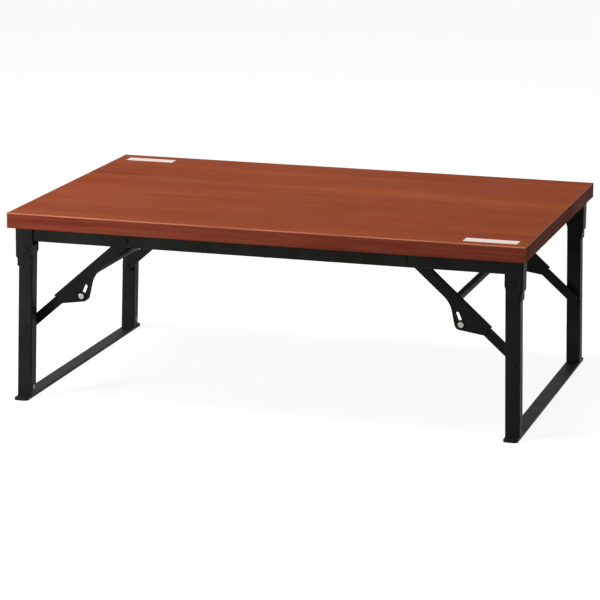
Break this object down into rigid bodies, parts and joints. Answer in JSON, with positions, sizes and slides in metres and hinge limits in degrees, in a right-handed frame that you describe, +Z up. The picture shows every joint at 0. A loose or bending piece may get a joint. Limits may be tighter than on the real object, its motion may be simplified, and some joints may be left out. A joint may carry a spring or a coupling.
{
  "type": "low table",
  "caption": "Low rectangular floor table with a wood-grain top on a black steel frame; the leg frames fold flat inwards on locking folding stays.",
  "frame": {"origin": "on the floor, under the middle of the table top", "axes": "+X along the table's length, to the right when facing the front long side; +Y to the back; +Z up"},
  "size_m": [0.9, 0.6, 0.3303],
  "materials": {
    "wood_grain_laminate": "printed reddish-brown wood grain, satin",
    "wood_grain_edge": "printed reddish-brown wood grain, satin",
    "core_board": "raw chipboard",
    "backing_sheet": "plain grey-beige sheet, matte",
    "blank_label": "plain white sticker, matte",
    "black_frame": "black powder coat, satin",
    "zinc_screws": "zinc plated",
    "silver_pin": "zinc plated, bright",
    "grey_bumper": "light grey nylon, matte"
  },
  "bodies": {
    "table_frame": {"top_core": "core_board", "top_laminate": "wood_grain_laminate", "backing_sheet": "backing_sheet", "front_edge_band": "wood_grain_edge", "back_edge_band": "wood_grain_edge", "left_edge_band": "wood_grain_edge", "right_edge_band": "wood_grain_edge", "front_label": "blank_label", "back_label": "blank_label", "front_rail": "black_frame", "back_rail": "black_frame", "left_cross_rail": "black_frame", "right_cross_rail": "black_frame", "frame_screws": "zinc_screws", "front_left_leg_bracket": "black_frame", "front_right_leg_bracket": "black_frame", "back_left_leg_bracket": "black_frame", "back_right_leg_bracket": "black_frame", "leg_hinge_rivets": "black_frame", "stay_top_rivets": "black_frame"},
    "left_leg_frame": {"left_foot_bar": "black_frame", "left_stay_foot_rivets": "black_frame", "front_left_leg_tube": "black_frame", "front_left_bumper": "grey_bumper", "back_left_leg_tube": "black_frame", "back_left_bumper": "grey_bumper"},
    "left_brace": {"left_cross_bar": "black_frame", "left_knee_rivets": "black_frame", "front_left_upper_link": "black_frame", "back_left_upper_link": "black_frame"},
    "front_left_lower_link": {"front_left_lower_link": "black_frame", "front_left_link_stud": "black_frame"},
    "front_left_lock_pin": {"front_left_lock_pin": "silver_pin"},
    "back_left_lower_link": {"back_left_lower_link": "black_frame", "back_left_link_stud": "black_frame"},
    "back_left_lock_pin": {"back_left_lock_pin": "silver_pin"},
    "right_leg_frame": {"right_foot_bar": "black_frame", "right_stay_foot_rivets": "black_frame", "front_right_leg_tube": "black_frame", "front_right_bumper": "grey_bumper", "back_right_leg_tube": "black_frame", "back_right_bumper": "grey_bumper"},
    "right_brace": {"right_cross_bar": "black_frame", "right_knee_rivets": "black_frame", "front_right_upper_link": "black_frame", "back_right_upper_link": "black_frame"},
    "front_right_lower_link": {"front_right_lower_link": "black_frame", "front_right_link_stud": "black_frame"},
    "front_right_lock_pin": {"front_right_lock_pin": "silver_pin"},
    "back_right_lower_link": {"back_right_lower_link": "black_frame", "back_right_link_stud": "black_frame"},
    "back_right_lock_pin": {"back_right_lock_pin": "silver_pin"}
  },
  "joints": [
    {"name": "left_leg_fold", "type": "hinge", "parent": "table_frame", "child": "left_leg_frame", "pos_m": [-0.4244, 0, 0.2625], "axis": [0, -1, 0], "range_deg": [0, 91.35]},
    {"name": "left_brace_turn", "type": "hinge", "parent": "table_frame", "child": "left_brace", "pos_m": [-0.2435, 0, 0.2897], "axis": [0, 1, 0], "range_deg": [0, 40.9]},
    {"name": "front_left_knee_turn", "type": "hinge", "parent": "left_brace", "child": "front_left_lower_link", "pos_m": [-0.34833, 0, 0.19012], "axis": [0, -1, 0], "range_deg": [0, 170.6]},
    {"name": "front_left_lock_slide", "type": "slide", "parent": "left_brace", "child": "front_left_lock_pin", "axis": [0.3738, 0, 0.9275], "range_m": [0, 0.0185], "stiffness_N_per_m": 150, "springref_m": -0.005},
    {"name": "back_left_knee_turn", "type": "hinge", "parent": "left_brace", "child": "back_left_lower_link", "pos_m": [-0.34833, 0, 0.19012], "axis": [0, -1, 0], "range_deg": [0, 170.6]},
    {"name": "back_left_lock_slide", "type": "slide", "parent": "left_brace", "child": "back_left_lock_pin", "axis": [0.3738, 0, 0.9275], "range_m": [0, 0.0185], "stiffness_N_per_m": 150, "springref_m": -0.005},
    {"name": "right_leg_fold", "type": "hinge", "parent": "table_frame", "child": "right_leg_frame", "pos_m": [0.4244, 0, 0.2625], "axis": [0, 1, 0], "range_deg": [0, 91.35]},
    {"name": "right_brace_turn", "type": "hinge", "parent": "table_frame", "child": "right_brace", "pos_m": [0.2435, 0, 0.2897], "axis": [0, -1, 0], "range_deg": [0, 40.9]},
    {"name": "front_right_knee_turn", "type": "hinge", "parent": "right_brace", "child": "front_right_lower_link", "pos_m": [0.34833, 0, 0.19012], "axis": [0, 1, 0], "range_deg": [0, 170.6]},
    {"name": "front_right_lock_slide", "type": "slide", "parent": "right_brace", "child": "front_right_lock_pin", "axis": [-0.3738, 0, 0.9275], "range_m": [0, 0.0185], "stiffness_N_per_m": 150, "springref_m": -0.005},
    {"name": "back_right_knee_turn", "type": "hinge", "parent": "right_brace", "child": "back_right_lower_link", "pos_m": [0.34833, 0, 0.19012], "axis": [0, 1, 0], "range_deg": [0, 170.6]},
    {"name": "back_right_lock_slide", "type": "slide", "parent": "right_brace", "child": "back_right_lock_pin", "axis": [-0.3738, 0, 0.9275], "range_m": [0, 0.0185], "stiffness_N_per_m": 150, "springref_m": -0.005}
  ],
  "couplings": [
    {"joint": "left_brace_turn", "follows": "left_leg_fold", "ratio": 0.44751},
    {"joint": "front_left_knee_turn", "follows": "left_leg_fold", "ratio": 1.8665},
    {"joint": "back_left_knee_turn", "follows": "left_leg_fold", "ratio": 1.8665},
    {"joint": "right_brace_turn", "follows": "right_leg_fold", "ratio": 0.44751},
    {"joint": "front_right_knee_turn", "follows": "right_leg_fold", "ratio": 1.8665},
    {"joint": "back_right_knee_turn", "follows": "right_leg_fold", "ratio": 1.8665}
  ]
}
